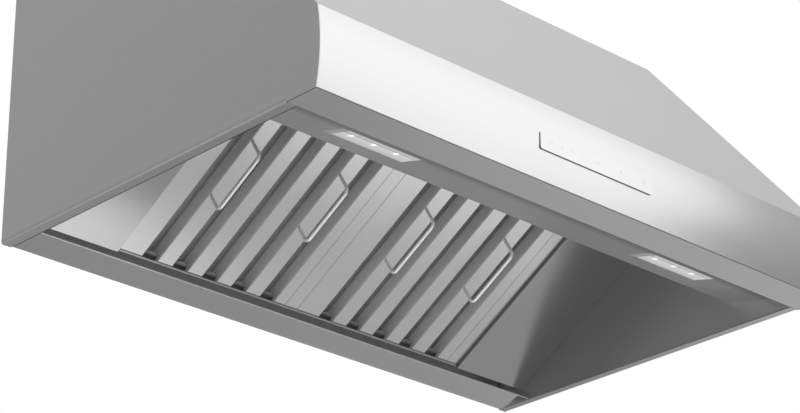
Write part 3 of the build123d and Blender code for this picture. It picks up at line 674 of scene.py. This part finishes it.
def fold_lines():
    """A dark strip of painted shadow for the folded joint on the right edge slat of each filter."""
    for side, right_edge in (("left", -FILTER_GAP / 2), ("right", FILTER_GAP / 2 + FILTER_WIDTH)):
        x = right_edge - FOLD_LINE_INSET
        shape = bar(-x - FOLD_LINE_WIDTH / 2, -x + FOLD_LINE_WIDTH / 2, 0, FOLD_LINE_LENGTH,
                    -SEAM_RISE, 0)
        place(f"{side}_filter_fold_line", shape, FILTER_FACE, painted_fold_shadow, f"filter_{side}")


def meeting_strip():
    """The narrow strip in the gap between the two filters, carried by the left one."""
    shape = bar(-STRIP_WIDTH / 2, STRIP_WIDTH / 2, 0, FOLD_LINE_LENGTH, STRIP_DEPTH,
                STRIP_DEPTH + STRIP_THICKNESS)
    place("filter_meeting_strip", shape, FILTER_FACE, filter_steel, "filter_left")


# Dark rounded pieces of painted shade behind the lower end of each gap between the slats
EDGE_SLAT = 40.2 * MM
SLAT_PITCH = 50.6 * MM
SLAT_GAP = 24.4 * MM
GAPS = 5
PAN_INSET = 0.6 * MM
PAN_LOW = 1.0 * MM
PAN_FLATNESS = 0.85
PAN_DEPTH = 5.0 * MM
PAN_THICKNESS = 0.6 * MM
PAN_STEPS = 16


def pan_outline():
    """A low half round with a short straight foot."""
    radius = SLAT_GAP / 2 - PAN_INSET
    foot = [(-radius, PAN_LOW), (radius, PAN_LOW)]
    arc = arc_points(0, 0, radius, 0, 180, PAN_STEPS)
    return foot + [(x, 2 * PAN_LOW + PAN_FLATNESS * y) for x, y in arc]


def gap_end_shades():
    """One dark piece of painted shade behind the lower end of each gap of a filter."""
    pan = prism(pan_outline(), PAN_DEPTH, PAN_DEPTH + PAN_THICKNESS)
    for side, left_edge in (("left", -FILTER_GAP / 2 - FILTER_WIDTH), ("right", FILTER_GAP / 2)):
        first = left_edge + EDGE_SLAT + SLAT_GAP / 2
        pans = [moved(pan, -(first + i * SLAT_PITCH)) for i in range(GAPS)]
        place(f"{side}_filter_drain_pans", joined(*pans), FILTER_FACE, gap_shade_metal, f"filter_{side}")


for side in SIDES:
    lamp_trim(side)
control_symbols()
underside_seams()
fold_lines()
meeting_strip()
gap_end_shades()


# The floor: pale to the camera and grey to light and reflections, with a patch of painted shade at its
# rear and one of painted light at its rear left; each patch fades across an edge in X and one in Y
FLOOR_LEVEL = -2.1
FLOOR_RADIUS = 3.0
FLOOR_SIDES = 96
FLOOR_PALE = 0.84
FLOOR_GREY = 0.22
FLOOR_PAINTED_SHADE = 0.14
FLOOR_PAINTED_SHADE_EDGES = ((1.9, 2.6), (1.3, 1.7))
FLOOR_PAINTED_LIGHT = 0.30
FLOOR_PAINTED_LIGHT_EDGES = ((0.2, 0.8), (0.9, 1.4))
FLOOR_GRAIN = 0.5
FLOOR_UNEVEN = 0.02
FLOOR_ROUGHNESS = 0.8
FLOOR_SPECULAR = 0.2


def floor_patch(tree, edges, level):
    """A level to the left of one edge and behind another, and nothing elsewhere."""
    x, y, _ = parted(tree, coordinates(tree, "Object"))
    return product(tree, fade(tree, x, edges[0], level, 0.0), fade(tree, y, edges[1]))


def floor_tone(tree):
    """The floor's tone with its painted shade and painted light, which depends on whether the camera
    or something else sees it.
    """
    with_painted_shade = math_node(tree, "SUBTRACT", FLOOR_GREY, floor_patch(tree, FLOOR_PAINTED_SHADE_EDGES, FLOOR_PAINTED_SHADE))
    with_painted_light = math_node(tree, "ADD", with_painted_shade, floor_patch(tree, FLOOR_PAINTED_LIGHT_EDGES, FLOOR_PAINTED_LIGHT))
    seen = add(tree, "ShaderNodeMix", data_type="FLOAT")
    tree.links.new(add(tree, "ShaderNodeLightPath").outputs["Is Camera Ray"], seen.inputs[0])
    tree.links.new(with_painted_light, seen.inputs[2])
    seen.inputs[3].default_value = FLOOR_PALE
    grain = spread(tree, noise(tree, [FLOOR_GRAIN] * 3), -FLOOR_UNEVEN, FLOOR_UNEVEN)
    return math_node(tree, "ADD", seen.outputs[0], grain)


def floor_material():
    """Matt from above, and clear from below."""
    material, shader = new_material("studio_floor")
    tree = material.node_tree
    tree.links.new(floor_tone(tree), shader.inputs["Base Color"])
    shader.inputs["Roughness"].default_value = FLOOR_ROUGHNESS
    shader.inputs["Specular IOR Level"].default_value = FLOOR_SPECULAR
    side_seen = add(tree, "ShaderNodeNewGeometry")
    clear = add(tree, "ShaderNodeBsdfTransparent")
    mix = add(tree, "ShaderNodeMixShader")
    tree.links.new(side_seen.outputs["Backfacing"], mix.inputs["Fac"])
    tree.links.new(shader.outputs["BSDF"], mix.inputs[1])
    tree.links.new(clear.outputs["BSDF"], mix.inputs[2])
    tree.links.new(mix.outputs["Shader"], tree.nodes["Material Output"].inputs["Surface"])
    return material


def studio_floor():
    """A round floor below the hood."""
    rim = arc_points(0, 0, FLOOR_RADIUS, 0, 360, FLOOR_SIDES)[:-1]
    mesh = bpy.data.meshes.new("studio_floor")
    mesh.from_pydata([(x, y, FLOOR_LEVEL) for x, y in rim], [], [tuple(range(FLOOR_SIDES))])
    mesh.materials.append(floor_material())
    floor = bpy.data.objects.new("studio_floor", mesh)
    bpy.context.scene.collection.objects.link(floor)


# How bright the room looks to the steel at each height of a ray's direction
ROOM_LEVELS = ((-0.52, 0.02), (-0.36, 0.56), (-0.20, 0.22), (0.0, 0.26), (0.13, 0.32), (0.36, 0.40),
               (0.60, 0.46), (0.85, 0.72))
# The room's share to the far left and elsewhere, by a direction's X
ROOM_SHARES = (0.68, 0.97)
FAR_LEFT_EDGE = (-0.66, -0.46)
# A bright backdrop behind and to the right, above the horizon
BACKDROP_DIRECTION = Vector((0.53, 0.72, 0.45)).normalized()
BACKDROP_LEVEL = 0.90
BACKDROP_EDGE = (0.66, 0.97)
BACKDROP_FOOT = (0.05, 0.35)
# A grey patch low to the left, by a direction's X and Z
LOW_LEFT_LEVEL = 0.41
LOW_LEFT_EDGE = (-0.30, -0.10)
LOW_LEFT_FOOT = (-0.60, -0.45)
LOW_LEFT_HEAD = (-0.12, 0.06)


def room_by_height(tree, z):
    """The room's levels as a smooth ramp over the height of a direction."""
    ramp = add(tree, "ShaderNodeValToRGB")
    ramp.color_ramp.interpolation = "EASE"
    stops = ramp.color_ramp.elements
    stops.remove(stops[1])
    for i, (height, level) in enumerate(ROOM_LEVELS):
        position = (height + 1) / 2
        stop = stops.new(position) if i else stops[0]
        stop.position = position
        stop.color = (*grey(level), 1)
    tree.links.new(spread(tree, z, 0.0, 1.0, -1.0, 1.0), ramp.inputs["Fac"])
    return ramp.outputs["Color"]


def room_seen(tree):
    """How bright the room looks to the steel in each direction."""
    direction = coordinates(tree, "Generated")
    x, _, z = parted(tree, direction)
    room = product(tree, room_by_height(tree, z), fade(tree, x, FAR_LEFT_EDGE, *ROOM_SHARES))
    towards = add(tree, "ShaderNodeVectorMath", operation="DOT_PRODUCT")
    tree.links.new(direction, towards.inputs[0])
    towards.inputs[1].default_value = BACKDROP_DIRECTION
    backdrop = fade(tree, towards.outputs["Value"], BACKDROP_EDGE, 0.0, BACKDROP_LEVEL)
    backdrop = product(tree, backdrop, fade(tree, z, BACKDROP_FOOT))
    low_left = product(tree, fade(tree, x, LOW_LEFT_EDGE, LOW_LEFT_LEVEL, 0.0),
                       fade(tree, z, LOW_LEFT_FOOT), fade(tree, z, LOW_LEFT_HEAD, 1.0, 0.0))
    return math_node(tree, "MAXIMUM", math_node(tree, "MAXIMUM", room, backdrop), low_left)


def studio_world():
    """A plain white world, which the steel's reflections see as a room that darkens round it."""
    world = bpy.data.worlds.new("studio")
    bpy.context.scene.world = world
    world.use_nodes = True
    tree = world.node_tree
    strength = add(tree, "ShaderNodeMix", data_type="FLOAT")
    tree.links.new(add(tree, "ShaderNodeLightPath").outputs["Is Glossy Ray"], strength.inputs[0])
    strength.inputs[2].default_value = 1.0
    tree.links.new(room_seen(tree), strength.inputs[3])
    background = tree.nodes["Background"]
    background.inputs["Color"].default_value = (1, 1, 1, 1)
    tree.links.new(strength.outputs[0], background.inputs["Strength"])


# The tilted softbox in front lights the fascia; its middle is given along its width, Y and height
FRONT_TILT = math.radians(32.7)
FRONT_MIDDLE = (0.51, -1.95, 1.55)
FRONT_SIZE = (1.44, 3.3)
FRONT_LEVEL = 0.89
# A small one lights the fascia's lower right part
CORNER_MIDDLE = (1.46, -1.96, -0.23)
CORNER_SIZE = (0.34, 0.50)
CORNER_LEVEL = 0.36
# Those below light the filters and the underside: each one's reach in X and in Y, its Z and level
LOW_SOFTBOXES = {
    "lower_softbox": (0.20, 2.30, -0.90, 0.40, -1.90, 0.29),
    "lower_front_softbox": (0.66, 1.68, -1.00, -0.385, -1.89, 0.70),
    "lower_left_softbox": (0.20, 0.83, -0.16, 0.50, -1.88, 1.08),
    "lower_rear_softbox": (1.20, 2.00, 0.45, 0.95, -1.90, 0.50),
    "lower_far_softbox": (2.80, 4.40, 1.10, 2.30, -1.90, 0.24),
}
# One more lights the filters' wire handles alone
WIRE_SOFTBOX = (-1.60, 1.00, -2.20, 0.40, -1.87, 0.70)


def softbox(name, middle, across, up, size, radiance):
    """A soft rectangle of light of a given brightness, shining out against across x up."""
    width, height = size
    data = bpy.data.lights.new(name, "AREA")
    data.shape = "RECTANGLE"
    data.size, data.size_y = size
    data.energy = radiance * math.pi * width * height
    light = bpy.data.objects.new(name, data)
    light.matrix_world = facing(Vector(middle), across, up)
    light.visible_camera = False
    bpy.context.scene.collection.objects.link(light)
    return light


def low_softbox(name, x0, x1, y0, y1, z, radiance):
    """A level softbox below the hood that shines up."""
    middle = ((x0 + x1) / 2, (y0 + y1) / 2, z)
    return softbox(name, middle, X_AXIS, -Y_AXIS, (x1 - x0, y1 - y0), radiance)


def studio_lights():
    """The softboxes in front and below, and the one for the handles."""
    across = Vector((math.cos(FRONT_TILT), 0, -math.sin(FRONT_TILT)))
    up = Vector((math.sin(FRONT_TILT), 0, math.cos(FRONT_TILT)))
    middle = across * FRONT_MIDDLE[0] + Y_AXIS * FRONT_MIDDLE[1] + up * FRONT_MIDDLE[2]
    softbox("front_softbox", middle, across, up, FRONT_SIZE, FRONT_LEVEL)
    softbox("front_corner_softbox", CORNER_MIDDLE, X_AXIS, Z_AXIS, CORNER_SIZE, CORNER_LEVEL)
    for name, measures in LOW_SOFTBOXES.items():
        low_softbox(name, *measures)
    wires = bpy.data.collections.new("wire_handles")
    for side in SIDES:
        wires.objects.link(nodes[f"{side}_filter_handles"])
    low_softbox("wire_softbox", *WIRE_SOFTBOX).light_linking.receiver_collection = wires


# Camera, solved from the photograph's vanishing points
CAMERA_PLACE = (-2.2020, -2.5804, -1.6654)
CAMERA_AZIMUTH = -43.06
CAMERA_ELEVATION = -23.13
CAMERA_SHIFT = (0.0195, 0.0753)
FOCAL_MM = 118.92
SENSOR_MM = 36.0
VIEW_END = 100.0


def studio_camera():
    """The camera at the photograph's place and angle."""
    data = bpy.data.cameras.new("camera")
    data.lens = FOCAL_MM
    data.sensor_width = SENSOR_MM
    data.shift_x, data.shift_y = CAMERA_SHIFT
    data.clip_end = VIEW_END
    camera = bpy.data.objects.new("camera", data)
    camera.location = CAMERA_PLACE
    camera.rotation_euler = (math.radians(90.0 - CAMERA_ELEVATION), 0.0,
                             math.radians(CAMERA_AZIMUTH))
    bpy.context.scene.collection.objects.link(camera)
    bpy.context.scene.camera = camera


studio_floor()
studio_world()
studio_lights()
studio_camera()
bpy.context.scene.view_settings.view_transform = "Standard"
